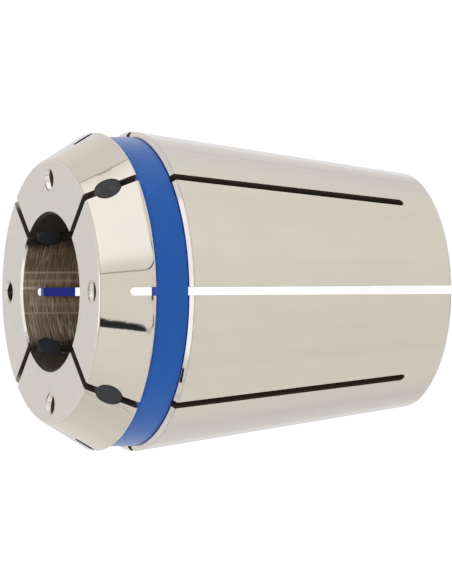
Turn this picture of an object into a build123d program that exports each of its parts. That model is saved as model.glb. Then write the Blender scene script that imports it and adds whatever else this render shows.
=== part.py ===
from build123d import *
import os
from math import cos, radians, sin, tan

# Sealed ER collet, standing on its small end: the axis is Z, the face looks up.
# All lengths in millimetres, all angles in degrees.

# Steel body
overall_length = 40.0
shoulder_diameter = 33.0
taper_angle = 8.0
nose_angle = 30.0
nose_length = 5.1
bore_diameter = 16.0
face_edge_chamfer = 0.17
nose_edge_chamfer = 0.2
shoulder_chamfer = 0.35
small_end_chamfer = 0.4
bore_entry_chamfer = 0.22
bore_exit_chamfer = 0.5

# Groove behind the nose, and the ring that sits in it
groove_width = 3.7
groove_floor_diameter = 29.5
ring_width = 3.5
ring_height = 1.2
ring_edge_chamfer = 0.08

# Slots: half are open at the face, half at the small end, all of one width
slot_count = 4
slot_width = 0.88
slot_deburr = 0.28
face_slot_web = 4.15
rear_slot_web = 1.85
rear_slot_lean = 7.1

# Rubber plugs that seal the slots open at the face
plug_diameter = 2.5
plug_depth = 2.23

# Jet holes in the face, above the closed ends of the other slots
jet_circle_diameter = 23.1
jet_diameter = 1.95
jet_mouth_diameter = 2.4
jet_mouth_angle = 53.0
jet_lean = 10.0
jet_depth = 3.3

# Derived sizes
bore_radius = bore_diameter / 2
shoulder_radius = shoulder_diameter / 2
groove_floor_radius = groove_floor_diameter / 2
groove_top = overall_length - nose_length
groove_bottom = groove_top - groove_width
taper_top = groove_bottom - shoulder_chamfer
face_radius = shoulder_radius - nose_length * tan(radians(nose_angle))
small_end_outer_radius = shoulder_radius - taper_top * tan(radians(taper_angle))
ring_bottom = groove_bottom + (groove_width - ring_width) / 2
plug_height = overall_length - plug_depth
cut_reach = 1.5 * shoulder_radius
face_slot_angle = 180 / slot_count


def slot_plane(angle, height, lean=0):
    """A plane on the axis that looks out along one slot, dipping by the lean."""
    across = Vector(-sin(radians(angle)), cos(radians(angle)), 0)
    out_x = cos(radians(lean)) * cos(radians(angle))
    out_y = cos(radians(lean)) * sin(radians(angle))
    outward = Vector(out_x, out_y, -sin(radians(lean)))
    return Plane(origin=(0, 0, height), x_dir=across, z_dir=outward)


# The closed end of a rear slot leans: its web is thinnest at the bore wall
rear_slot_tip = overall_length - rear_slot_web + bore_radius * tan(radians(rear_slot_lean))
face_slot_angles = [face_slot_angle + i * 360 / slot_count for i in range(slot_count)]
rear_slot_angles = [i * 360 / slot_count for i in range(slot_count)]
slot_length = 1.5 * overall_length

# Half section of the body without its slots, used again to trim the plugs
with BuildSketch(Plane.XZ) as body_section:
    with BuildLine():
        Polyline(
            (bore_radius + bore_entry_chamfer, overall_length),
            (face_radius, overall_length),
            (shoulder_radius, groove_top),
            (groove_floor_radius, groove_top),
            (groove_floor_radius, groove_bottom),
            (shoulder_radius - shoulder_chamfer, groove_bottom),
            (shoulder_radius, taper_top),
            (small_end_outer_radius, 0),
            (bore_radius + bore_exit_chamfer, 0),
            (bore_radius, bore_exit_chamfer),
            (bore_radius, overall_length - bore_entry_chamfer),
            close=True,
        )
    make_face()
    face_corner = body_section.vertices().group_by(Axis.Y)[-1].sort_by(Axis.X)[-1]
    chamfer(face_corner, face_edge_chamfer)
    nose_corner = body_section.vertices().filter_by(lambda v: abs(v.Y - groove_top) < 0.01)
    chamfer(nose_corner.sort_by(Axis.X)[-1], nose_edge_chamfer)
    end_corner = body_section.vertices().group_by(Axis.Y)[0].sort_by(Axis.X)[-1]
    chamfer(end_corner, small_end_chamfer)

with BuildPart() as collet_blank:
    add(body_section.sketch)
    revolve(axis=Axis.Z)

# The blank is slotted from both ends, then drilled for the plugs and the jets
with BuildPart() as collet_body:
    add(collet_blank.part)
    # Slots open at the face, round at their closed ends
    with BuildSketch(*[slot_plane(a, face_slot_web) for a in face_slot_angles]):
        with Locations((0, slot_length / 2)):
            SlotOverall(slot_length, slot_width, rotation=90)
    extrude(amount=cut_reach, mode=Mode.SUBTRACT)
    # Slots open at the small end, with the leaning round ends
    with BuildSketch(*[slot_plane(a, rear_slot_tip, rear_slot_lean) for a in rear_slot_angles]):
        with Locations((0, -slot_length / 2)):
            SlotOverall(slot_length, slot_width, rotation=90)
    extrude(amount=cut_reach, mode=Mode.SUBTRACT)
    # The slots' edges are broken where they meet the bore
    with BuildSketch(Plane.XY.offset(face_slot_web + slot_width)):
        with PolarLocations(bore_radius - slot_deburr, slot_count, start_angle=face_slot_angle):
            Trapezoid(
                slot_width + 4 * slot_deburr,
                2 * slot_deburr,
                45,
                rotation=-90,
                align=(Align.CENTER, Align.MIN),
            )
    extrude(amount=overall_length, mode=Mode.SUBTRACT)
    with BuildSketch(Plane.XY.offset(-overall_length)):
        with PolarLocations(bore_radius - slot_deburr, slot_count):
            Trapezoid(
                slot_width + 4 * slot_deburr,
                2 * slot_deburr,
                45,
                rotation=-90,
                align=(Align.CENTER, Align.MIN),
            )
    extrude(amount=2 * overall_length - rear_slot_web - slot_width, mode=Mode.SUBTRACT)
    # Round seats for the plugs
    with BuildSketch(*[slot_plane(a, plug_height) for a in face_slot_angles]):
        Circle(plug_diameter / 2)
    extrude(amount=cut_reach, mode=Mode.SUBTRACT)
    # Jet holes, countersunk, that lean outwards as they go down and end in the rear slots
    jet_axis = (-sin(radians(jet_lean)), 0, cos(radians(jet_lean)))
    jet_mouth = Plane(origin=(jet_circle_diameter / 2, 0, overall_length), z_dir=jet_axis)
    with PolarLocations(0, slot_count):
        with Locations(jet_mouth):
            CounterSinkHole(jet_diameter / 2, jet_mouth_diameter / 2, jet_depth, jet_mouth_angle)

with BuildPart() as groove_ring:
    with BuildSketch(Plane.XZ) as ring_section:
        with Locations((groove_floor_radius, ring_bottom)):
            Rectangle(ring_height, ring_width, align=(Align.MIN, Align.MIN))
        chamfer(ring_section.vertices(), ring_edge_chamfer)
    revolve(axis=Axis.Z)


def make_plug(angle):
    """One plug: a round stem pressed through the wall, trimmed to the body's surfaces."""
    with BuildPart() as plug:
        with BuildSketch(slot_plane(angle, plug_height)):
            Circle(plug_diameter / 2)
        extrude(amount=cut_reach)
        add(collet_blank.part, mode=Mode.INTERSECT)
    return plug.part


plugs = [make_plug(a) for a in face_slot_angles]

os.makedirs("parts", exist_ok=True)

collet_body.part.label = "collet_body"
export_step(collet_body.part, "parts/collet_body.step")

groove_ring.part.label = "groove_ring"
export_step(groove_ring.part, "parts/groove_ring.step")

for number, plug in enumerate(plugs, start=1):
    plug.label = f"slot_plug_{number}"
    export_step(plug, f"parts/slot_plug_{number}.step")
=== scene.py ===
"""Dresses the ER collet: polished, satin and honed steel, a blue groove ring and rubber slot plugs."""
import math

import bmesh
import bpy
from bpy.props import FloatProperty, FloatVectorProperty, PointerProperty
from mathutils import Matrix, Vector


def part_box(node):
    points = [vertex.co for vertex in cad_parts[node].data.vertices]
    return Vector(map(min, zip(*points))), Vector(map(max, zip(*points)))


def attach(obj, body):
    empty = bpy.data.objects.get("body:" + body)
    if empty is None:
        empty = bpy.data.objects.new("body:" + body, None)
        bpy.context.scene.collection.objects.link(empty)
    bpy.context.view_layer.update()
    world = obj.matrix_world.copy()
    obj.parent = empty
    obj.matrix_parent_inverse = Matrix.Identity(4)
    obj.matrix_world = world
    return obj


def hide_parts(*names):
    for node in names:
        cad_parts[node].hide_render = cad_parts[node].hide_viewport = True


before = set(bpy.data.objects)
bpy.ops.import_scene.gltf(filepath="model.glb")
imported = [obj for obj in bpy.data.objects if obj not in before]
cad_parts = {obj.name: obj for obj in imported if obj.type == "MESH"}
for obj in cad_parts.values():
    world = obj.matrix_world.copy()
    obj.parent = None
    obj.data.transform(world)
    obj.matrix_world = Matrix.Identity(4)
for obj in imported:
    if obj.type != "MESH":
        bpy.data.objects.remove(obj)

bl_info = {
    "name": "ER collet dresser",
    "version": (1, 0, 0),
    "blender": (4, 5, 0),
    "location": "3D View > Sidebar > Collet",
    "description": "Finishes a sealed ER collet and sets a white stage for it",
    "category": "Object",
}

BODY, RING = "collet_body", "groove_ring"
PLUGS = sorted(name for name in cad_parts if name.startswith("slot_plug"))
BODY_HIGH = Vector(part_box(BODY)[1])
RING_LOW, RING_HIGH = (Vector(corner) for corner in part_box(RING))
RING_WALL = 0.0012
# Millimetres in a metre
MM = 1000.0


# Sizes and looks that a user may change

def length(name, description, default):
    return FloatProperty(name=name, description=description, default=default, unit="LENGTH", precision=5)


def angle(name, description, degrees):
    return FloatProperty(name=name, description=description, default=math.radians(degrees), subtype="ANGLE")


def colour(name, description, default):
    return FloatVectorProperty(name=name, description=description, default=default, subtype="COLOR",
                               size=3, min=0.0, max=1.0)


def share(name, description, default):
    return FloatProperty(name=name, description=description, default=default, subtype="FACTOR",
                         min=0.0, max=1.0)


def number(name, description, default):
    return FloatProperty(name=name, description=description, default=default)


class ColletSteelLook(bpy.types.PropertyGroup):
    """Where the body's finishes begin and end, and how each one looks"""
    shoulder_radius: length("Shoulder Radius", "Largest radius of the body", BODY_HIGH.x)
    face_height: length("Face Height", "Height of the face above the small end", BODY_HIGH.z)
    nose_length: length("Nose Length", "From the face back to the groove", 0.0051)
    groove_width: length("Groove Width", "Width of the groove behind the nose", 0.0037)
    groove_radius: length("Groove Floor Radius", "Radius of the groove's floor", -RING_LOW.x - RING_WALL)
    bore_radius: length("Bore Radius", "Radius of the clamping bore", 0.008)
    nose_angle: angle("Nose Angle", "Half angle of the nose cone", 30)
    taper_angle: angle("Taper Angle", "Half angle of the long taper", 8)
    jet_circle: length("Jet Circle Radius", "Radius of the circle that the jet holes stand on", 0.01155)
    face_chamfer: length("Face Chamfer", "Chamfer round the face", 0.00017)
    nose_chamfer: length("Nose Chamfer", "Chamfer at the nose cone's rear edge", 0.0002)
    shoulder_chamfer: length("Shoulder Chamfer", "Chamfer at the front of the taper", 0.00035)
    small_end_chamfer: length("Small End Chamfer", "Chamfer at the small end", 0.0004)
    bore_entry_chamfer: length("Bore Entry Chamfer", "Chamfer where the bore meets the face", 0.00022)
    bore_exit_chamfer: length("Bore Exit Chamfer", "Chamfer where the bore meets the small end", 0.0005)
    polished_tint: colour("Polished Tint", "Warm mirror of the taper and the nose", (0.642, 0.587, 0.516))
    chamfer_tint: colour("Chamfer Tint", "Whiter polish of the narrow chamfers", (0.655, 0.62, 0.59))
    # Painted highlight: a brighter tint for the chamfer round the face
    face_edge_highlight_tint: colour("Face Edge Highlight Tint", "Burnished edge round the face", (0.74, 0.71, 0.66))
    nose_rim_tint: colour("Nose Rim Tint", "Nose's rear edge, in the ring's blue light", (0.70, 0.78, 1.0))
    face_tint: colour("Face Tint", "Cooler satin of the ground face", (0.652, 0.620, 0.583))
    bore_tint: colour("Bore Tint", "Oil-browned steel inside the bore", (0.385, 0.282, 0.197))
    score_tint: colour("Score Tint", "Bright scores in the bore", (1.0, 0.90, 0.78))
    # Painted shade: the dark colour of the bore's wall away from its middle
    bore_shade_tint: colour("Oil Tint", "Dark oil round the plugs' inner ends", (0.068, 0.068, 0.067))
    # Painted reflection: a dark slanting line on the shoulder's chamfer
    shoulder_reflection_tint: colour("Shoulder Reflection Tint", "Dirt in the nick on the shoulder", (0.02, 0.018, 0.016))
    # Painted shade on the slots' walls, and painted light where the far ones open
    slot_shade_tint: colour("Slot Shade Tint", "Burnt scale on the walls of the slots", (0.075, 0.056, 0.038))
    open_slot_light_tint: colour("Open Slot Light Tint", "Cleaner steel where the far slots open", (0.5, 0.42, 0.33))
    # Painted shade deep in the jet holes, and painted highlights on the ridges in their mouths
    jet_shade_tint: colour("Jet Shade Tint", "Burnt steel deep in the jet holes", (0.11, 0.078, 0.052))
    jet_low_tint: colour("Jet Ridge Low", "Between the ridges in a jet's mouth", (0.62, 0.57, 0.51))
    jet_high_tint: colour("Jet Ridge High", "On the ridges in a jet's mouth", (0.88, 0.84, 0.79))
    polished_roughness: share("Polished Roughness", "Roughness of the taper and the nose", 0.035)
    face_roughness: share("Face Roughness", "Roughness of the face", 0.38)
    bore_roughness: share("Bore Roughness", "Roughness of the bore", 0.42)
    recess_roughness: share("Recess Roughness", "Roughness of burnt steel", 0.6)
    bore_metal: share("Bore Metal", "How bare of oil film the bore's steel is", 0.75)
    nose_crown: angle("Nose Crown", "How much the polish has crowned the nose cone", 2.4)
    nose_roll_off: length("Nose Roll-off", "How far the polish has softened the rear edge", 0.0011)


class ColletRingLook(bpy.types.PropertyGroup):
    """Colours and surface of the moulded ring"""
    edge_radius: length("Edge Radius", "Radius of the ring's rear outer edge", 0.00014)
    front_radius: length("Front Radius", "Radius of the ring's front outer edge", 0.00042)
    bulge: length("Bulge", "How far the squeezed ring stands past its moulded rear side", 0.00009)
    blue: colour("Blue", "Moulded blue", (0.006, 0.101, 0.415))
    # Painted shade along the ring's edges
    edge_shade_blue: colour("Edge Shade Blue", "Duller, redder blue along the rubbed edges", (0.045, 0.095, 0.38))
    let_through: colour("Light Let Through", "Daylight through the thin plastic", (0.018, 0.022, 0.17))
    roughness: share("Roughness", "Satin roughness", 0.36)


class ColletPlugLook(bpy.types.PropertyGroup):
    """Colours and surface of the rubber plugs"""
    diameter: length("Diameter", "Diameter of a plug", 0.0025)
    depth: length("Depth", "From the face to the middle of a plug", 0.00223)
    rim_radius: length("Rim Radius", "Radius of a plug's rims", 0.00016)
    recess: length("Recess", "How far a plug's ends stand back", 0.00003)
    dome: length("Dome", "How far a plug's outer end is domed", 0.00004)
    rubber: colour("Rubber", "Dull dark grey", (0.034, 0.034, 0.036))
    bloom: colour("Bloom", "Paler dust and bloom on the rubber", (0.062, 0.062, 0.062))
    # Painted shade: the darker rubber of the plugs' inner ends down in the bore
    inner_shade: colour("Inner Shade", "Darker rubber at the inner ends, wetted by oil", (0.021, 0.023, 0.029))
    roughness: share("Roughness", "Dull roughness", 0.62)


class ColletStageLook(bpy.types.PropertyGroup):
    """The camera's place and the white tent round the collet"""
    elevation: angle("Camera Elevation", "Camera above the small end's plane", 23.063)
    azimuth: angle("Camera Azimuth", "Camera round the axis, from the first slot", 0.0)
    roll: angle("Camera Roll", "Turn about the line of sight, past a quarter turn", -0.312)
    distance: length("Camera Distance", "From the camera to its target", 0.8)
    aim_right: length("Aim Right", "Target's shift to the right of the axis's middle", -0.000286)
    aim_up: length("Aim Up", "Target's shift above the axis's middle", -0.000113)
    sensor: number("Sensor", "Sensor width in millimetres", 36.0)
    focal_share: number("Focal Share", "Focal length for each sensor width", 13.198)
    tent_level: number("Tent Level", "Strength of the white tent", 1.0)
    softbox_level: number("Softbox Level", "Strength of the big soft box", 1.38)
    overhead_level: number("Overhead Level", "Strength of the light overhead", 1.42)
    floor_radius: length("Floor Radius", "Radius of the pale floor", 1.2)
    floor_drop: length("Floor Drop", "How far the floor lies below the small end", 0.00002)


# Drawing node trees

def socket_title(name):
    return name.replace("_", " ").capitalize()


def dim(colour, amount):
    return tuple(channel * amount for channel in colour)


class Sketch:
    """One node tree being drawn: adds nodes, feeds their sockets and hands back their outputs."""

    def __init__(self, tree):
        self.tree = tree
        self.count = 0

    def add(self, kind, inputs=(), output=0, **settings):
        node = self.tree.nodes.new(kind)
        node.location = (180 * (self.count % 14), -220 * (self.count // 14))
        self.count += 1
        for name, value in settings.items():
            setattr(node, name, value)
        items = inputs.items() if isinstance(inputs, dict) else enumerate(inputs)
        for key, value in items:
            self.feed(node.inputs[key], value)
        return node.outputs[output] if output is not None else node

    def feed(self, socket, value):
        if isinstance(value, bpy.types.NodeSocket):
            self.tree.links.new(value, socket)
        elif isinstance(socket.default_value, (float, int)):
            socket.default_value = value
        else:
            value = tuple(value)
            size = len(socket.default_value)
            socket.default_value = value + (1.0,) if len(value) + 1 == size else value

    def math(self, operation, *values):
        return self.add("ShaderNodeMath", values, operation=operation)

    def chain(self, operation, first, *others):
        """Works the others into the first value, one after another."""
        for other in others:
            first = self.math(operation, first, other)
        return first

    def plus(self, *values):
        return self.chain("ADD", *values)

    def minus(self, first, second):
        return self.math("SUBTRACT", first, second)

    def times(self, *values):
        return self.chain("MULTIPLY", *values)

    def larger(self, *values):
        return self.chain("MAXIMUM", *values)

    def smaller(self, *values):
        return self.chain("MINIMUM", *values)

    def size(self, value):
        """The value without its sign."""
        return self.math("ABSOLUTE", value)

    def past(self, value, bar):
        return self.math("GREATER_THAN", value, bar)

    def degrees(self, value):
        return self.times(value, 180.0 / math.pi)

    def step(self, value, low, high, to_low=0.0, to_high=1.0):
        """A smooth step from to_low at low to to_high at high."""
        return self.add("ShaderNodeMapRange", (value, low, high, to_low, to_high),
                        interpolation_type="SMOOTHSTEP")

    def fall(self, value, low, high, most=1.0, least=0.0):
        """A smooth step down from the most to the least."""
        return self.step(value, low, high, most, least)

    def near(self, value, middle, full, none, most=1.0, least=0.0):
        """The most up to one distance from the middle, the least from the other on."""
        return self.fall(self.size(self.minus(value, middle)), full, none, most, least)

    def band(self, value, rise, risen, drop, dropped):
        """A smooth step up, and one down again."""
        return self.times(self.step(value, rise, risen), self.fall(value, drop, dropped))

    def scale(self, value, low, high, to_low=0.0, to_high=1.0):
        return self.add("ShaderNodeMapRange", (value, low, high, to_low, to_high))

    def blend(self, share, first, second):
        """Mixes two numbers."""
        return self.add("ShaderNodeMix", {0: share, 2: first, 3: second}, data_type="FLOAT")

    def tint(self, share, first, second, mode="MIX"):
        """Mixes two colours."""
        return self.add("ShaderNodeMix", {0: share, 6: first, 7: second}, 2, data_type="RGBA",
                        blend_type=mode)

    def split(self, vector):
        return tuple(self.add("ShaderNodeSeparateXYZ", (vector,), None).outputs)

    def join(self, x, y, z):
        return self.add("ShaderNodeCombineXYZ", (x, y, z))

    def vector(self, operation, *values, output=0):
        return self.add("ShaderNodeVectorMath", values, output, operation=operation)

    def stretch(self, vector, amount):
        return self.add("ShaderNodeVectorMath", {0: vector, 3: amount}, operation="SCALE")

    def reach(self, x, y):
        return self.vector("LENGTH", self.join(x, y, 0.0), output=1)

    def noise(self, vector, scale, detail=2.0, rough=0.5):
        return self.add("ShaderNodeTexNoise", {"Vector": vector, "Scale": scale, "Detail": detail,
                                               "Roughness": rough})

    def use(self, group, **values):
        """Places a node group; the names of its sockets are given with underscores for spaces."""
        node = self.add("ShaderNodeGroup", (), None, node_tree=group)
        for name, value in values.items():
            self.feed(node.inputs[socket_title(name)], value)
        return node.outputs

    def give(self, leave, **values):
        """Feeds a group's outputs, named in the same way."""
        for name, value in values.items():
            self.feed(leave[socket_title(name)], value)

    def object_millimetres(self):
        """The piece's own coordinates, in millimetres."""
        node = self.add("ShaderNodeTexCoord", (), None)
        return self.stretch(node.outputs["Object"], MM)

    def bump(self, relief):
        """A normal from a relief in millimetres."""
        return self.add("ShaderNodeBump", {"Height": relief, "Distance": 1.0 / MM, "Strength": 1.0})

    def light_path(self):
        return self.add("ShaderNodeLightPath", (), None).outputs


def new_group(name, inputs, outputs, vectors=()):
    """A node group, its sketch, its inputs and its outputs; an input with no default is a vector."""
    old = bpy.data.node_groups.get(name)
    if old:
        bpy.data.node_groups.remove(old)
    tree = bpy.data.node_groups.new(name, "ShaderNodeTree")
    for title, default in inputs.items():
        kind = "NodeSocketVector" if default is None else "NodeSocketFloat"
        socket = tree.interface.new_socket(title, in_out="INPUT", socket_type=kind)
        if default is not None:
            socket.default_value = default
    for title in outputs:
        kind = "NodeSocketVector" if title in vectors else "NodeSocketFloat"
        tree.interface.new_socket(title, in_out="OUTPUT", socket_type=kind)
    sketch = Sketch(tree)
    entry = sketch.add("NodeGroupInput", (), None)
    leave = tree.nodes.new("NodeGroupOutput")
    return tree, sketch, entry.outputs, leave.inputs


# Effects shared by the materials

def turned_coordinates():
    """Radius, angle and height about the collet's axis."""
    tree, s, given, out = new_group("Turned Coordinates", {"Vector": None},
                                    ("Radius", "Angle", "Height", "Outward"), ("Outward",))
    x, y, z = s.split(given["Vector"])
    flat = s.join(x, y, 0.0)
    s.give(out, radius=s.vector("LENGTH", flat, output=1), angle=s.math("ARCTAN2", y, x), height=z,
           outward=s.vector("NORMALIZE", flat))
    return tree


def machined_lay():
    """Fine lines that run round the axis, as grinding, turning and honing leave them, from 0 to 1."""
    tree, s, given, out = new_group(
        "Machined Lay", {"Outward": None, "Across": 0.0, "Pitch": 0.2, "Run": 3.0, "Seed": 0.0},
        ("Height",))
    x, y, _ = s.split(s.stretch(given["Outward"], s.math("DIVIDE", 20.0, given["Run"])))
    across = s.plus(s.math("DIVIDE", given["Across"], given["Pitch"]), given["Seed"])
    s.give(out, height=s.noise(s.join(x, y, across), 1.0, 3.0, 0.6))
    return tree


def clouding():
    """Soft uneven patches, as handling and polishing leave them, centred on 0."""
    tree, s, given, out = new_group("Clouding", {"Vector": None, "Patch": 6.0, "Seed": 0.0}, ("Cloud",))
    moved = s.vector("ADD", given["Vector"], s.join(given["Seed"], given["Seed"], 0.0))
    small = s.stretch(moved, s.math("DIVIDE", 1.0, given["Patch"]))
    s.give(out, cloud=s.minus(s.noise(small, 1.0, 3.0, 0.55), 0.5))
    return tree


def hairlines():
    """Sparse thin scratches that run along one line with gaps between them, from 0 to 1."""
    tree, s, given, out = new_group(
        "Hairlines", {"Vector": None, "Turn": 0.6, "Spacing": 0.5, "Amount": 0.4}, ("Mask",))
    turned = s.add("ShaderNodeVectorRotate", {"Vector": given["Vector"], "Axis": (0.3, 0.5, 0.8),
                                              "Angle": given["Turn"]})
    x, y, z = s.split(turned)
    drawn_out = s.join(s.math("DIVIDE", x, given["Spacing"]), s.times(y, 0.12), s.times(z, 0.12))
    line = s.near(s.noise(drawn_out, 1.0, 1.0, 0.4), 0.5, 0.0, 0.018)
    bar = s.minus(0.85, s.times(given["Amount"], 0.5))
    s.give(out, mask=s.times(line, s.step(s.noise(turned, 0.35, 2.0, 0.5), bar, s.plus(bar, 0.06))))
    return tree


def ragged_edge_fade():
    """An uneven band that fades away from an edge, from 0 to 1."""
    tree, s, given, out = new_group("Ragged Edge Fade", {"Vector": None, "Distance": 0.0, "Width": 0.3},
                                    ("Mask",))
    grain = s.noise(given["Vector"], 1.7, 3.0, 0.6)
    reach = s.times(given["Width"], s.scale(grain, 0.3, 0.75, 0.2, 1.6))
    s.give(out, mask=s.fall(given["Distance"], 0.0, reach))
    return tree


EFFECTS = {"turned": ("Turned Coordinates", turned_coordinates), "lay": ("Machined Lay", machined_lay),
           "cloud": ("Clouding", clouding), "hair": ("Hairlines", hairlines),
           "edge_shade": ("Ragged Edge Fade", ragged_edge_fade)}


def effect(key):
    """The shared effect of that name, built the first time it is asked for."""
    name, build = EFFECTS[key]
    return bpy.data.node_groups.get(name) or build()


def new_material(name):
    """An empty node material; returns it and its sketch."""
    old = bpy.data.materials.get(name)
    if old:
        bpy.data.materials.remove(old)
    material = bpy.data.materials.new(name)
    material.use_nodes = True
    material.node_tree.nodes.clear()
    return material, Sketch(material.node_tree)


def finish_material(s, **sockets):
    """Adds the shader itself: constants go on its own sockets, patterns are linked."""
    shader = s.add("ShaderNodeBsdfPrincipled", (), None)
    for name, value in sockets.items():
        s.feed(shader.inputs[name.replace("_", " ")], value)
    s.add("ShaderNodeOutputMaterial", (shader.outputs[0],), None)


# The steel body, measured in millimetres and degrees

def body_zones(look):
    """Masks of the body's finishes, read from where a point lies on the turned profile."""
    tree, s, given, out = new_group(
        "Body Zones", {"Radius": 0.0, "Height": 0.0, "Across slot": 0.0, "Along slot": 0.0},
        ("Polished", "Nose", "Nose rim", "Face edge", "Face line", "Shoulder", "Shoulder edge", "Face",
         "Bore", "Rim", "Groove", "End", "Jet", "Cut"))
    radius, height = given["Radius"], given["Height"]
    face, shoulder, bore = look.face_height * MM, look.shoulder_radius * MM, look.bore_radius * MM
    groove_top = face - look.nose_length * MM
    groove_bottom = groove_top - look.groove_width * MM
    groove_floor = look.groove_radius * MM
    lean, taper = math.tan(look.nose_angle), math.tan(look.taper_angle)
    face_chamfer, nose_chamfer = look.face_chamfer * MM, look.nose_chamfer * MM
    shoulder_chamfer, entry = look.shoulder_chamfer * MM, look.bore_entry_chamfer * MM
    taper_top = groove_bottom - shoulder_chamfer
    face_edge = shoulder - lean * look.nose_length * MM
    small_end = shoulder - taper * taper_top

    def flank(rise, at_radius, at_height):
        """Radius of a straight flank at this height."""
        return s.math("MULTIPLY_ADD", height, rise, at_radius - rise * at_height)

    nose_line = s.smaller(flank(-lean, shoulder, groove_top),
                          flank(lean, shoulder - nose_chamfer, groove_top),
                          flank(-1.0 / lean, face_edge - face_chamfer, face))
    body_line = s.smaller(flank(taper, shoulder, taper_top),
                          flank(-1.0, shoulder - shoulder_chamfer, groove_bottom),
                          flank(1.0, small_end - look.small_end_chamfer * MM, 0.0))
    outer = s.blend(s.past(height, 0.5 * (groove_top + groove_bottom)), body_line, nose_line)
    bore_line = s.larger(flank(1.0, bore + entry, face),
                         flank(-1.0, bore + look.bore_exit_chamfer * MM, 0.0), bore)

    # Two finishes meet over a hair's width
    hair = 0.01
    skin = s.fall(s.minus(outer, radius), 0.05, 0.09)
    nose = s.times(skin, s.step(height, groove_top - hair, groove_top))
    rim_top = groove_top + nose_chamfer * math.cos(look.nose_angle)
    nose_rim = s.fall(height, rim_top - 0.5 * hair, rim_top + 0.5 * hair)
    on_shoulder = s.band(height, taper_top - hair, taper_top + hair, groove_bottom - hair, groove_bottom)
    shoulder_edge = s.near(height, taper_top - 0.06, 0.05, 0.11)
    on_face = s.step(height, face - 0.05, face - 2 * hair)
    # The chamfer round the face is painted bright to its middle, a painted highlight, and a thin painted
    # shade line runs where it meets the cone
    drop = face_chamfer * math.cos(look.nose_angle)
    edge_band = s.step(height, face - 0.6 * drop, face - 0.45 * drop)
    edge_line = s.near(height, face - 0.85 * drop, 0.03, 0.055)
    at_end = s.fall(height, 2 * hair, 0.05)
    # The broken edges of the slots count as bore: the bore's scores and its painted light and shade run
    # over them
    on_wall = s.fall(s.minus(radius, bore_line), 0.03, 0.06)
    broken = s.times(s.fall(radius, bore + 0.30, bore + 0.36),
                     s.fall(height, face - entry - 2 * hair, face - entry))
    in_bore = s.larger(on_wall, broken)
    rim = s.times(on_wall, s.step(s.minus(bore_line, bore), 0.002, 0.012))
    in_groove = s.times(s.band(height, groove_bottom - 2 * hair, groove_bottom - hair,
                               groove_top + hair, groove_top + 2 * hair),
                        s.step(radius, groove_floor - 0.12, groove_floor - 0.06))
    from_jet = s.reach(s.minus(given["Along slot"], look.jet_circle * MM), given["Across slot"])
    jet = s.times(s.fall(from_jet, 1.7, 1.8),
                  s.band(height, face - 3.2, face - 3.1, face - 2 * hair, face - hair))
    plain = s.larger(skin, on_face, at_end, in_bore, in_groove, jet)
    s.give(out, polished=skin, nose=nose, nose_rim=s.times(nose, nose_rim),
           face_edge=s.times(edge_band, nose), face_line=s.times(edge_line, nose),
           shoulder=s.times(on_shoulder, skin),
           shoulder_edge=s.times(shoulder_edge, skin), face=on_face, bore=in_bore, rim=rim,
           groove=in_groove, end=at_end, jet=jet, cut=s.minus(1.0, plain))
    return tree


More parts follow.
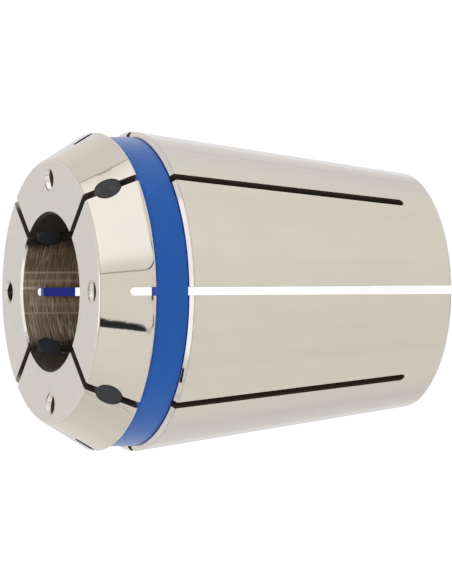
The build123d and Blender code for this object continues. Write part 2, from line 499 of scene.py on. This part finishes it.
def bore_wear_and_light():
    """Scores that tool shanks leave round a bore, with painted reflections along it, painted shade away
    from the middle of its far wall and painted light in that middle.
    """
    tree, s, given, out = new_group(
        "Bore Wear and Light", {"Vector": None, "Outward": None, "Depth": 0.0},
        ("Streaks", "Scores", "Shank marks", "Oil", "Dry side", "Bright", "Specks"))
    # Read round the bore from the middle of its far wall
    x, y, _ = s.split(given["Outward"])
    turn = s.degrees(s.math("ARCTAN2", s.times(y, -1.0), s.times(x, -1.0)))
    depth = given["Depth"]

    def run_round(lean, each_degree, each_millimetre, seed, detail):
        """Noise drawn out round the bore, leaning along it by so many millimetres for each degree."""
        leant = s.minus(depth, s.times(turn, lean))
        spot = s.join(s.times(turn, each_degree), s.times(leant, each_millimetre), seed)
        return s.noise(spot, 1.0, detail, 0.6)

    streaks = s.scale(run_round(0.004, 0.06, 3.3, 3.0, 3.0), 0.33, 0.67)
    # Fine scores run round in bundles that start and stop; low down they fan out, higher up they cross
    low = s.step(turn, -8.0, 10.0)
    straight = s.step(run_round(0.0, 0.055, 6.5, 11.0, 1.0), 0.55, 0.65)
    fan = s.scale(depth, 0.5, 4.5, 0.016, -0.010)
    fanned = s.step(run_round(fan, 0.05, 5.2, 29.0, 1.0), 0.53, 0.65)
    crossed = s.step(run_round(-0.004, 0.06, 5.6, 21.0, 1.0), 0.56, 0.68)
    lines = s.larger(s.times(straight, 0.8), s.blend(low, crossed, fanned))
    bundles = s.step(run_round(0.02, 0.05, 0.9, 0.0, 2.0), 0.38, 0.60, 0.25, 1.0)
    scores = s.times(lines, s.times(bundles, s.blend(low, 0.6, 1.15)))
    # Painted reflections: straight light lines along the bore
    marks = 0.0
    for at, half, start, end, strength in (
            (-29.7, 0.8, 2.8, 4.2, 0.15), (-14.5, 1.2, 0.0, 9.0, 0.75), (-8.2, 1.4, 0.0, 9.0, 0.4),
            (-2.9, 1.6, -0.3, 1.8, 1.0), (9.2, 2.0, 0.8, 9.0, 0.3), (15.9, 1.3, 0.0, 9.0, 0.6)):
        mark = s.times(s.near(turn, at, 0.3 * half, half, strength),
                       s.band(depth, start - 0.1, start + 0.1, end - 0.3, end + 0.3))
        marks = s.larger(mark, marks)
    ragged = s.noise(s.join(s.times(turn, 0.8), s.times(depth, 1.3), 5.0), 1.0, 3.0, 0.6)
    marks = s.times(marks, s.step(ragged, 0.25, 0.6, 0.7, 1.0))
    # Painted shade darkens the wall away from its middle, from about the plugs on, painted lighter on the
    # low side; a few bright specks of swarf lie in it
    cloud = s.scale(s.noise(given["Vector"], 0.55, 4.0, 0.65), 0.3, 0.7, -1.0, 1.0)
    aside = s.size(s.minus(turn, 1.5))
    oil = s.times(s.step(s.math("MULTIPLY_ADD", cloud, 4.0, aside), 33.0, 42.0),
                  s.fall(aside, 125.0, 150.0), s.fall(depth, 8.0, 12.0))
    specks = s.times(s.step(s.noise(given["Vector"], 4.5, 0.0, 0.5), 0.76, 0.80), s.times(oil, low))
    # Painted light: the wall is painted brightest in its middle, and low down near the face
    middle = s.near(turn, 1.0, 9.0, 24.0, 0.42)
    lower = s.times(s.step(turn, 6.0, 22.0), s.scale(depth, 1.5, 3.5, 0.42, 0.12))
    s.give(out, streaks=streaks, scores=scores, shank_marks=marks, oil=oil, dry_side=low,
           bright=s.smaller(s.plus(middle, lower), 1.0), specks=specks)
    return tree


class COLLET_OT_finish_steel(bpy.types.Operator):
    """Polish the taper and the nose, satin the face and hone the bore of the collet's body"""
    bl_idname = "collet.finish_steel"
    bl_label = "Finish Steel Body"

    def execute(self, context):
        look = context.scene.collet_steel
        material, s = new_material("polished collet steel")
        spot = s.object_millimetres()
        turned = s.use(effect("turned"), vector=spot)
        radius, height, outward = turned["Radius"], turned["Height"], turned["Outward"]
        turn = s.degrees(turned["Angle"])
        depth = s.minus(look.face_height * MM, height)
        x, y, _ = s.split(spot)
        off_x, off_y = s.size(x), s.size(y)
        along, across = s.larger(off_x, off_y), s.smaller(off_x, off_y)
        zones = s.use(body_zones(look), radius=radius, height=height, across_slot=across, along_slot=along)
        flat = s.larger(zones["Face"], zones["End"])
        lay = s.use(effect("lay"), outward=outward, across=s.blend(flat, height, radius), pitch=0.16,
                    run=4.0)[0]
        honing = s.use(effect("lay"), outward=outward, across=height, pitch=0.13, run=2.4, seed=7.0)[0]
        wear_and_light = s.use(bore_wear_and_light(), vector=spot, outward=outward, depth=depth)
        cloud = s.use(effect("cloud"), vector=spot, patch=5.0)[0]
        fine_cloud = s.use(effect("cloud"), vector=spot, patch=0.8, seed=31.0)[0]
        hair = s.use(effect("hair"), vector=spot, turn=0.7, spacing=0.9, amount=0.35)[0]

        # Colour of each finish; the taper's polish is a little duller towards the small end
        polished = look.polished_tint
        base = s.tint(s.scale(cloud, -0.2, 0.2), dim(polished, 0.98), dim(polished, 1.02))
        base = s.tint(s.scale(height, 6.0, 26.0, 0.6, 0.0), base, dim(polished, 0.96))
        base = s.tint(zones["Shoulder"], base, look.chamfer_tint)
        # Painted shade: a dark line along the foot of the shoulder's chamfer, uneven along its length
        line_shade = s.scale(fine_cloud, -0.15, 0.15, 0.2, 0.8)
        base = s.tint(s.times(zones["Shoulder edge"], line_shade), base, dim(polished, 0.6))
        # Painted highlight on the chamfer round the face
        base = s.tint(zones["Face edge"], base, look.face_edge_highlight_tint)
        # Painted shade: a thin dark line where the face's chamfer meets the cone, strongest over a short
        # arc on the camera's side
        line_shade = s.near(turn, -5.0, 12.0, 16.0, 0.9, 0.1)
        base = s.tint(s.times(zones["Face line"], line_shade), base, dim(polished, 0.62))
        # A painted reflection: a dark slanting line across the shoulder's chamfer
        reflection_turn, reflection_slant = -31.8, 0.01
        reflection_height = (look.face_height - look.nose_length - look.groove_width) * MM - 0.09
        reflection_line = s.math("MULTIPLY_ADD", turn, reflection_slant, reflection_height - reflection_slant * reflection_turn)
        shoulder_reflection = s.times(s.near(turn, reflection_turn, 2.6, 3.6), s.near(height, reflection_line, 0.08, 0.14))
        base = s.tint(shoulder_reflection, base, look.shoulder_reflection_tint)
        face_grain = s.scale(fine_cloud, -0.25, 0.25)
        face_colour = s.tint(face_grain, dim(look.face_tint, 0.955), dim(look.face_tint, 1.045))
        # Painted light: the bore's wall up to about twice as bright in its middle and low down near the
        # face
        bore_colour = s.tint(wear_and_light["Bright"], dim(look.bore_tint, 0.95), dim(look.bore_tint, 1.95))
        darker, lighter = (0.58, 0.55, 0.52), (1.42, 1.42, 1.38)
        streaked = s.tint(wear_and_light["Streaks"], darker, lighter)
        bore_colour = s.tint(1.0, bore_colour, streaked, "MULTIPLY")
        bore_colour = s.tint(wear_and_light["Scores"], bore_colour, look.score_tint)
        # Painted reflections: light lines along the bore
        bore_colour = s.tint(wear_and_light["Shank marks"], bore_colour, look.score_tint)
        # Painted shade over the bore's wall away from its middle, painted lighter on the low side, with
        # scores and bright specks of swarf in it
        inner_shade = s.tint(wear_and_light["Dry side"], look.bore_shade_tint, dim(look.bore_shade_tint, 1.6))
        inner_shade = s.tint(s.times(wear_and_light["Scores"], 0.55), inner_shade, dim(look.bore_tint, 0.75))
        inner_shade = s.tint(wear_and_light["Specks"], inner_shade, look.score_tint)
        bore_colour = s.tint(wear_and_light["Oil"], bore_colour, inner_shade)
        # The bore's entry chamfer is darkened by the same painted shade
        rim_colour = s.tint(wear_and_light["Oil"], look.chamfer_tint, dim(look.bore_shade_tint, 0.25))
        # Painted light and shade in the jet holes: a lit, ridged colour below their mouths and painted
        # shade farther down, the near one deeper
        mouth_radius = 1.2
        chord = s.math("MULTIPLY_ADD", across, s.times(across, -1.0), mouth_radius ** 2)
        chord = s.math("SQRT", s.larger(chord, 0.0))
        shade_from = s.times(chord, s.blend(s.past(x, 0.0), 0.78, 0.47))
        shade_from = s.blend(s.past(off_x, off_y), 0.50, shade_from)
        jet_mouth = s.fall(s.minus(depth, shade_from), -0.05, 0.05)
        ridges = s.scale(s.noise(s.join(0.0, s.times(y, 3.2), 2.0), 1.0, 1.0, 0.5), 0.35, 0.65)
        jet_colour = s.tint(jet_mouth, look.jet_shade_tint, s.tint(ridges, look.jet_low_tint, look.jet_high_tint))
        # Painted shade on the slots' walls, painted lighter near the bore, and painted light where the far
        # ones open at the face's edge
        near_bore = s.times(s.fall(radius, 9.0, 11.0), s.step(depth, 1.8, 3.2))
        slot_colour = s.tint(near_bore, look.slot_shade_tint, dim(look.slot_shade_tint, 2.4))
        open_end = s.times(s.step(radius, 12.2, 13.4), s.fall(depth, 1.0, 2.0), s.math("LESS_THAN", x, 0.0))
        slot_colour = s.tint(open_end, slot_colour, look.open_slot_light_tint)
        for zone, value in (
                ("Nose rim", look.nose_rim_tint), ("Face", face_colour), ("Bore", bore_colour),
                ("Rim", rim_colour), ("End", dim(look.face_tint, 0.9)), ("Groove", polished),
                ("Jet", jet_colour), ("Cut", slot_colour)):
            base = s.tint(zones[zone], base, value)

        # Roughness of each finish
        rough = s.plus(look.polished_roughness, s.times(hair, 0.12), s.scale(cloud, -0.3, 0.3, -0.01, 0.02))
        rough = s.blend(zones["Face"], rough, s.scale(face_grain, 0.0, 1.0, look.face_roughness - 0.04,
                                                      look.face_roughness + 0.04))
        jet_rough = s.blend(jet_mouth, look.recess_roughness, s.blend(s.past(x, 2.0), 0.3, 0.5))
        bore_rough = s.blend(wear_and_light["Oil"], look.bore_roughness, 0.25)
        rim_rough = s.blend(wear_and_light["Oil"], look.polished_roughness, 0.5)
        for zone, value in (
                ("Bore", bore_rough), ("Rim", rim_rough), ("Nose rim", 0.35), ("End", 0.3),
                ("Groove", 0.12), ("Jet", jet_rough), ("Cut", look.recess_roughness)):
            rough = s.blend(zones[zone], rough, value)
        honed = s.minus(zones["Bore"], zones["Rim"])
        metal = s.blend(honed, s.blend(zones["Cut"], 1.0, 0.35), look.bore_metal)
        metal = s.blend(zones["Jet"], metal, s.blend(jet_mouth, 0.2, 1.0))

        # Relief in millimetres: the lay of the grinding and the honing
        lay_depth = s.blend(zones["Polished"], 0.0, 0.0004)
        for zone, value in ((zones["Nose"], 0.00005), (flat, 0.003), (zones["Groove"], 0.001)):
            lay_depth = s.blend(zone, lay_depth, value)
        relief = s.times(s.minus(lay, 0.5), lay_depth)
        relief = s.plus(relief, s.times(s.minus(honing, 0.5), 0.02, honed))
        relief = s.minus(relief, s.times(hair, 0.0004))
        # The polish has crowned the nose cone and rolled off its rear edge
        nose_length, roll = look.nose_length * MM, look.nose_roll_off * MM
        half_crown = 0.5 * look.nose_crown / math.cos(look.nose_angle)
        crown = s.times(depth, s.math("MULTIPLY_ADD", depth, half_crown / nose_length, -half_crown))
        near_rear = s.math("POWER", s.scale(depth, nose_length - roll, nose_length), 2.5)
        fallen = s.plus(crown, s.times(near_rear, 0.026 * roll))
        relief = s.minus(relief, s.times(fallen, zones["Nose"]))
        finish_material(s, Base_Color=base, Metallic=metal, Roughness=rough, Normal=s.bump(relief))
        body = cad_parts[BODY]
        body.data.materials.clear()
        body.data.materials.append(material)
        return {"FINISHED"}


# The blue ring and the rubber plugs

def link_form(form, name, material):
    mesh = bpy.data.meshes.new(name)
    form.to_mesh(mesh)
    form.free()
    mesh.materials.append(material)
    piece = bpy.data.objects.new(name, mesh)
    bpy.context.scene.collection.objects.link(piece)
    return piece


def smooth_piece(form, name, material):
    """Makes a closed smooth object of a form, its flats kept flat by weighted normals."""
    bmesh.ops.remove_doubles(form, verts=form.verts, dist=1e-7)
    bmesh.ops.recalc_face_normals(form, faces=form.faces)
    for face in form.faces:
        face.smooth = True
    piece = link_form(form, name, material)
    flats = piece.modifiers.new("flats", "WEIGHTED_NORMAL")
    flats.weight = 90
    return piece


def spin_outline(form, steps):
    """A full turn of the form's outline about the upright axis."""
    bmesh.ops.spin(form, geom=form.edges[:], cent=(0, 0, 0), axis=(0, 0, 1), angle=2 * math.pi, steps=steps,
                   use_merge=True, use_duplicate=False)


def round_corner(form, points, radius, segments):
    bmesh.ops.bevel(form, geom=points, affect="VERTICES", offset=radius, segments=segments, profile=0.5,
                    material=-1)


class COLLET_OT_make_ring(bpy.types.Operator):
    """Spin the groove ring with its rounded edges and give it a satin blue moulded finish"""
    bl_idname = "collet.make_ring"
    bl_label = "Make Groove Ring"

    def execute(self, context):
        look = context.scene.collet_ring
        form = bmesh.new()
        inner, outer = context.scene.collet_steel.groove_radius, RING_HIGH.x
        bottom, top = RING_LOW.z - look.bulge, RING_HIGH.z
        small = 0.5 * look.edge_radius
        corners = [form.verts.new(spot) for spot in ((inner, 0.0, bottom), (outer, 0.0, bottom),
                                                     (outer, 0.0, top), (inner, 0.0, top))]
        for start, end in zip(corners, corners[1:] + corners[:1]):
            form.edges.new((start, end))
        for corner, radius in zip(corners, (small, look.edge_radius, look.front_radius, small)):
            round_corner(form, [corner], radius, 5)
        spin_outline(form, 180)

        material, s = new_material("satin blue plastic")
        spot = s.object_millimetres()
        turned = s.use(effect("turned"), vector=spot)
        height = turned["Height"]
        lay = s.use(effect("lay"), outward=turned["Outward"], across=height, pitch=0.22, run=5.0,
                    seed=3.0)[0]
        cloud = s.use(effect("cloud"), vector=spot, patch=2.5, seed=11.0)[0]
        grain = s.use(effect("cloud"), vector=spot, patch=0.16, seed=5.0)[0]
        edge = s.smaller(s.minus(height, bottom * MM), s.minus(top * MM, height))
        edge_shade = s.use(effect("edge_shade"), vector=spot, distance=edge, width=0.3)[0]
        base = s.tint(s.scale(cloud, -0.25, 0.25), dim(look.blue, 0.95), dim(look.blue, 1.05))
        # Painted shade: a purpler blue along the ring's front and rear edges
        base = s.tint(s.times(edge_shade, 0.8), base, look.edge_shade_blue)
        inside = s.fall(turned["Radius"], outer * MM - 0.20, outer * MM - 0.03)
        rough = s.plus(s.scale(lay, 0.3, 0.7, look.roughness - 0.03, look.roughness + 0.03),
                       s.times(grain, 0.08))
        relief = s.plus(s.times(lay, 0.002), s.times(grain, 0.003))
        finish_material(s, Base_Color=base, Roughness=rough, Normal=s.bump(relief), Specular_IOR_Level=0.25,
                        Sheen_Weight=0.45, Sheen_Roughness=0.35, Subsurface_Weight=0.35,
                        Subsurface_Radius=(0.12, 0.16, 1.0), Subsurface_Scale=0.002,
                        Emission_Color=s.tint(inside, (0.0, 0.0, 0.0), look.let_through),
                        Emission_Strength=1.0)
        ring = smooth_piece(form, "blue_groove_ring", material)
        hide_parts(RING)
        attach(ring, "root")
        return {"FINISHED"}


def plug_form(look, steel, turn):
    """One plug: a spun stem with rounded rims, its outer end sheared to the nose cone, set at its turn."""
    rise = math.tan(steel.nose_angle)
    low = steel.bore_radius + look.recess
    high = steel.shoulder_radius - (steel.nose_length - look.depth) * rise - look.recess
    reach = 0.5 * look.diameter
    form = bmesh.new()
    points = [form.verts.new(spot) for spot in ((0, 0, low), (reach, 0, low), (reach, 0, high),
                                                (0.5 * reach, 0, high + 0.75 * look.dome),
                                                (0, 0, high + look.dome))]
    for start, end in zip(points, points[1:]):
        form.edges.new((start, end))
    round_corner(form, points[1:3], look.rim_radius, 4)
    spin_outline(form, 48)
    # The stem's own X runs down the cone, its Y across it and its Z outwards
    shear = Matrix(((1, 0, 0), (0, 1, 0), (rise, 0, 1)))
    outer_end = [vert for vert in form.verts if vert.co.z > 0.5 * (low + high)]
    bmesh.ops.transform(form, matrix=shear.to_4x4(), verts=outer_end)
    set_up = Matrix(((0, 0, 1), (0, -1, 0), (-1, 0, 0))).inverted().transposed()
    place = Matrix.Rotation(turn, 4, "Z") @ set_up.to_4x4()
    place.translation = (0, 0, steel.face_height - look.depth)
    bmesh.ops.transform(form, matrix=place, verts=form.verts)
    return form


class COLLET_OT_make_plugs(bpy.types.Operator):
    """Spin the slot plugs with their rounded rims and give them a dull rubber finish"""
    bl_idname = "collet.make_plugs"
    bl_label = "Make Slot Plugs"

    def execute(self, context):
        look = context.scene.collet_plugs
        material, s = new_material("dull dark rubber")
        spot = s.object_millimetres()
        cloud = s.use(effect("cloud"), vector=spot, patch=0.9, seed=2.0)[0]
        grain = s.use(effect("cloud"), vector=spot, patch=0.09, seed=17.0)[0]
        radius = s.use(effect("turned"), vector=spot)["Radius"]
        base = s.tint(s.step(s.plus(cloud, s.times(grain, 0.4)), -0.05, 0.3), look.rubber, look.bloom)
        # The lower plugs are darker all over; painted shade darkens the inner ends down in the bore
        # further, the upper plugs' most
        upper = s.step(s.split(spot)[1], -2.0, 2.0)
        base = s.tint(s.blend(upper, 0.45, 0.15), base, look.inner_shade)
        inner_end = s.fall(radius, 8.3, 9.5)
        base = s.tint(inner_end, base, s.tint(upper, dim(look.inner_shade, 1.5), look.inner_shade))
        rough = s.scale(grain, -0.3, 0.3, look.roughness - 0.08, look.roughness + 0.08)
        relief = s.plus(s.times(cloud, 0.03), s.times(grain, 0.01))
        finish_material(s, Base_Color=base, Roughness=rough, Normal=s.bump(relief), Specular_IOR_Level=0.3)
        for plug in PLUGS:
            low, high = (Vector(corner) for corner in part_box(plug))
            turn = math.atan2(low.y + high.y, low.x + high.x)
            form = plug_form(look, context.scene.collet_steel, turn)
            stem = smooth_piece(form, plug.replace("slot", "rubber"), material)
            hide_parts(plug)
            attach(stem, "root")
        return {"FINISHED"}


# The stage

def tent_card():
    """A soft box in the tent: a rounded rectangle on an upright wall that faces one way, with its rim."""
    tree, s, given, out = new_group(
        "Tent Card", {"Way": None, "Facing": 0.0, "Left": -1.0, "Right": 1.0, "Bottom": 0.5, "Top": 3.0,
                      "Corner": 0.1, "Softness": 0.01, "Rim": 0.01},
        ("Inside", "Rim"))
    turned = s.add("ShaderNodeVectorRotate", {"Vector": given["Way"], "Axis": (0, 0, 1),
                                              "Angle": s.times(given["Facing"], -1.0)})
    ahead, side, up = s.split(turned)
    before = s.larger(ahead, 0.001)
    side, up = s.math("DIVIDE", side, before), s.math("DIVIDE", up, before)
    dx = s.plus(s.larger(s.minus(given["Left"], side), s.minus(side, given["Right"])), given["Corner"])
    dy = s.plus(s.larger(s.minus(given["Bottom"], up), s.minus(up, given["Top"])), given["Corner"])
    outside = s.reach(s.larger(dx, 0.0), s.larger(dy, 0.0))
    gap = s.minus(s.plus(outside, s.smaller(s.larger(dx, dy), 0.0)), given["Corner"])
    seen = s.past(ahead, 0.001)
    s.give(out, inside=s.times(s.fall(gap, s.times(given["Softness"], -1.0), 0.0), seen),
           rim=s.times(s.fall(s.size(gap), s.times(given["Rim"], 0.5), given["Rim"]), seen))
    return tree


def white_tent(look):
    """A white tent; what shines sees its soft boxes and seams, and the camera sees plain white."""
    world = bpy.data.worlds.new("white tent")
    world.use_nodes = True
    world.node_tree.nodes.clear()
    world.cycles.sampling_method = "NONE"
    s = Sketch(world.node_tree)
    way = s.vector("NORMALIZE", s.add("ShaderNodeTexCoord", (), None).outputs["Generated"])
    x, y, z = s.split(way)
    azimuth = s.degrees(s.math("ARCTAN2", y, x))
    elevation = s.degrees(s.math("ARCSINE", z))
    aside = s.size(azimuth)
    card = tent_card()

    def darken(level, mask, amount):
        return s.times(level, s.minus(1.0, s.times(mask, amount)))

    # The tent's walls, a little duller behind the collet, above and below its middle
    low = s.fall(elevation, -14.0, -8.0)
    above = s.scale(aside, 92.0, 108.0, 1.0, 0.93)
    below = s.times(s.step(aside, 105.0, 128.0, 1.0, 0.89), s.step(aside, 150.0, 166.0, 1.0, 1.07))
    level = s.blend(low, above, below)
    level = darken(level, s.times(s.step(aside, 158.0, 176.0), s.fall(elevation, -12.0, -4.0)), 0.2)
    one_side = s.times(s.scale(azimuth, -40.0, 40.0, 0.965, 1.04), s.scale(aside, 60.0, 110.0, 1.0, 0.99))
    level = s.blend(low, level, s.times(level, one_side))
    level = s.times(level, s.scale(s.noise(way, 3.0, 3.0, 0.5), 0.3, 0.7, 0.97, 1.03))
    lower_side = s.times(s.band(azimuth, -125.0, -104.0, -90.0, -62.0), s.step(elevation, 5.0, 10.0))
    level = darken(level, lower_side, 0.09)
    # The big soft box, brightest in its middle; its rim is darkest round the corner beside the opening
    box = s.use(card, way=way, facing=math.radians(31.0), left=-0.251, right=4.0, bottom=0.545, top=2.15,
                corner=0.2, softness=0.01, rim=0.014)
    glow = s.times(s.band(azimuth, 17.5, 36.0, 90.0, 118.0), s.fall(elevation, 56.0, 64.0), box["Inside"])
    level = s.blend(glow, level, look.softbox_level)
    rim_shade = s.blend(s.step(azimuth, 30.0, 44.0), s.blend(s.step(elevation, 33.0, 35.0), 0.9, 0.5), 0.12)
    level = darken(level, box["Rim"], s.times(rim_shade, s.fall(azimuth, 42.0, 58.0)))
    # The camera's opening beside it, its lower rim dark at one corner
    opening = s.use(card, way=way, facing=0.0, left=-0.565, right=0.30, bottom=0.62, top=6.0, corner=0.15,
                    softness=0.01, rim=0.015)
    under = s.times(s.fall(azimuth, 12.0, 14.0), s.fall(elevation, 44.0, 46.0))
    corner_shade = s.blend(s.band(azimuth, -29.5, -26.0, -20.0, -16.0), 0.12, 0.85)
    level = darken(level, s.times(opening["Rim"], under), corner_shade)
    dash = s.times(s.near(azimuth, -6.0, 2.0, 2.4), s.near(elevation, 32.1, 0.55, 0.85))
    level = darken(level, dash, 0.95)
    from_corner = s.reach(s.minus(azimuth, -30.8), s.minus(elevation, 32.0))
    level = darken(level, s.fall(from_corner, 0.4, 2.6), 0.36)
    # Its dark side is ragged, hooks up beside the face and narrows downwards
    teeth = s.noise(s.join(0.0, elevation, s.times(azimuth, 0.1)), 2.2, 1.0, 0.5)
    shift = s.scale(teeth, 0.35, 0.65, -0.6, 0.6)
    scallops = s.size(s.math("SINE", s.times(elevation, 6.4)))
    scallops = s.math("MULTIPLY_ADD", scallops, 1.6, -0.45)
    hook = s.scale(elevation, 38.4, 38.7, 0.0, 1.4)
    upper = s.plus(s.step(elevation, 32.8, 36.0, -30.5, -26.6), s.plus(shift, scallops), hook)
    lower = s.math("MULTIPLY_ADD", shift, 0.25, s.scale(elevation, 33.2, 38.0, -31.1, -33.2))
    lower = s.math("MULTIPLY_ADD", scallops, -0.4, lower)
    streak = s.times(s.step(s.minus(azimuth, lower), -0.15, 0.15),
                     s.step(s.minus(upper, azimuth), -0.15, 0.15),
                     s.band(elevation, 33.0, 33.4, 42.0, 44.0))
    level = darken(level, streak, 0.965)
    # Thin upright seams of the tent, two at the sides above and one behind below
    at_sides, behind = s.step(elevation, 4.0, 8.0), s.step(elevation, -16.0, -20.0)
    for turn, half, softness, where, amount in (
            (107.0, 0.2, 0.6, at_sides, 0.45), (-98.4, 0.1, 0.5, at_sides, 0.25),
            (136.0, 0.2, 0.8, behind, 0.14)):
        level = darken(level, s.times(s.near(azimuth, turn, half, half + softness), where), amount)
    # The light overhead: a strip past the zenith, and a broad part towards the front
    strip = s.times(s.band(y, -0.25, -0.19, 0.09, 0.13), s.step(elevation, 67.0, 73.0))
    level = s.blend(strip, level, look.overhead_level)
    front = s.times(s.band(azimuth, -78.0, -60.0, 90.0, 120.0), s.step(elevation, 53.0, 58.0))
    level = s.blend(front, level, s.times(look.overhead_level, s.step(azimuth, -8.0, 30.0, 1.0, 0.92)))
    # The soft box, the cloth behind and the dark side are a little cooler than the cloth
    tone = s.tint(glow, (1.0, 1.0, 0.985), (0.99, 1.0, 1.03))
    behind_low = s.times(s.step(aside, 100.0, 120.0), s.fall(elevation, -12.0, -6.0))
    tone = s.tint(behind_low, tone, (0.99, 1.0, 1.04))
    tone = s.tint(streak, tone, (0.88, 1.0, 1.2))
    path = s.light_path()
    shiny = s.larger(path["Is Glossy Ray"], path["Is Transmission Ray"])
    strength = s.blend(path["Is Camera Ray"], s.blend(shiny, look.tent_level, level), 1.0)
    tone = s.tint(shiny, (1.0, 1.0, 1.0), tone)
    light = s.add("ShaderNodeBackground", {"Color": tone, "Strength": strength})
    s.add("ShaderNodeOutputWorld", (light,), None)
    return world


def pale_floor(look):
    """A round pale floor under the collet; the camera sees it white, with the collet's soft shadow."""
    form = bmesh.new()
    bmesh.ops.create_circle(form, cap_ends=True, radius=look.floor_radius, segments=96,
                            matrix=Matrix.Translation((0.0, 0.0, -look.floor_drop)))
    material, s = new_material("pale floor")
    path = s.light_path()
    seen = s.larger(path["Is Camera Ray"], path["Is Glossy Ray"], path["Is Transmission Ray"])
    mottle = s.use(effect("cloud"), vector=s.object_millimetres(), patch=60.0)[0]
    shade = s.tint(s.scale(mottle, -0.3, 0.3), (0.80, 0.80, 0.80), (0.84, 0.84, 0.84))
    paper = s.add("ShaderNodeBsdfDiffuse", {"Color": shade})
    faint = s.add("ShaderNodeBsdfDiffuse", {"Color": (0.10, 0.10, 0.10)})
    white = s.add("ShaderNodeEmission", {"Color": (1.0, 1.0, 1.0), "Strength": 0.96})
    both = s.add("ShaderNodeAddShader", (faint, white))
    s.add("ShaderNodeOutputMaterial", (s.add("ShaderNodeMixShader", (seen, paper, both)),), None)
    floor = link_form(form, "pale_floor", material)
    floor.visible_glossy = False


def place_camera(look):
    """The camera looks down the nose from one side, turned by a quarter so that the axis lies level."""
    turn, lift, roll = look.azimuth, look.elevation, look.roll
    back = Vector((math.cos(lift) * math.cos(turn), math.cos(lift) * math.sin(turn), math.sin(lift)))
    axis = Vector((0.0, 0.0, 1.0))
    right = -(axis - axis.dot(back) * back).normalized()
    up = back.cross(right)
    right, up = math.cos(roll) * right + math.sin(roll) * up, math.cos(roll) * up - math.sin(roll) * right
    target = Vector((0.0, 0.0, 0.5 * BODY_HIGH.z)) + look.aim_right * right + look.aim_up * up
    data = bpy.data.cameras.new("photo camera")
    data.sensor_width = look.sensor
    data.lens = look.focal_share * look.sensor
    data.clip_start, data.clip_end = 0.05, 10.0
    camera = bpy.data.objects.new("photo camera", data)
    bpy.context.scene.collection.objects.link(camera)
    place = Matrix((right, up, back)).transposed().to_4x4()
    place.translation = target + look.distance * back
    camera.matrix_world = place
    bpy.context.scene.camera = camera


class COLLET_OT_set_stage(bpy.types.Operator):
    """Set the pale floor, the white tent and the camera"""
    bl_idname = "collet.set_stage"
    bl_label = "Set Stage"

    def execute(self, context):
        look = context.scene.collet_stage
        pale_floor(look)
        context.scene.world = white_tent(look)
        place_camera(look)
        context.scene.view_settings.view_transform = "Standard"
        return {"FINISHED"}


class COLLET_PT_sidebar(bpy.types.Panel):
    """Lists the steps that dress the collet"""
    bl_idname = "COLLET_PT_sidebar"
    bl_label = "ER Collet"
    bl_space_type = "VIEW_3D"
    bl_region_type = "UI"
    bl_category = "Collet"

    def draw(self, context):
        for operator, _ in STEPS:
            self.layout.operator(operator.bl_idname)
        for name in LOOKS:
            box = self.layout.box()
            group = getattr(context.scene, name)
            for key in group.bl_rna.properties.keys():
                if key not in {"rna_type", "name"}:
                    box.prop(group, key)


STEPS = ((COLLET_OT_finish_steel, "finish_steel"), (COLLET_OT_make_ring, "make_ring"),
         (COLLET_OT_make_plugs, "make_plugs"), (COLLET_OT_set_stage, "set_stage"))
LOOKS = {"collet_steel": ColletSteelLook, "collet_ring": ColletRingLook, "collet_plugs": ColletPlugLook,
         "collet_stage": ColletStageLook}


def register():
    for group in LOOKS.values():
        bpy.utils.register_class(group)
    for operator, _ in STEPS:
        bpy.utils.register_class(operator)
    bpy.utils.register_class(COLLET_PT_sidebar)
    for name, group in LOOKS.items():
        setattr(bpy.types.Scene, name, PointerProperty(type=group))


def unregister():
    for name in LOOKS:
        delattr(bpy.types.Scene, name)
    bpy.utils.unregister_class(COLLET_PT_sidebar)
    for operator, _ in reversed(STEPS):
        bpy.utils.unregister_class(operator)
    for group in reversed(list(LOOKS.values())):
        bpy.utils.unregister_class(group)


def main():
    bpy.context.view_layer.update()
    register()
    for _, name in STEPS:
        getattr(bpy.ops.collet, name)()


if __name__ == "__main__":
    main()
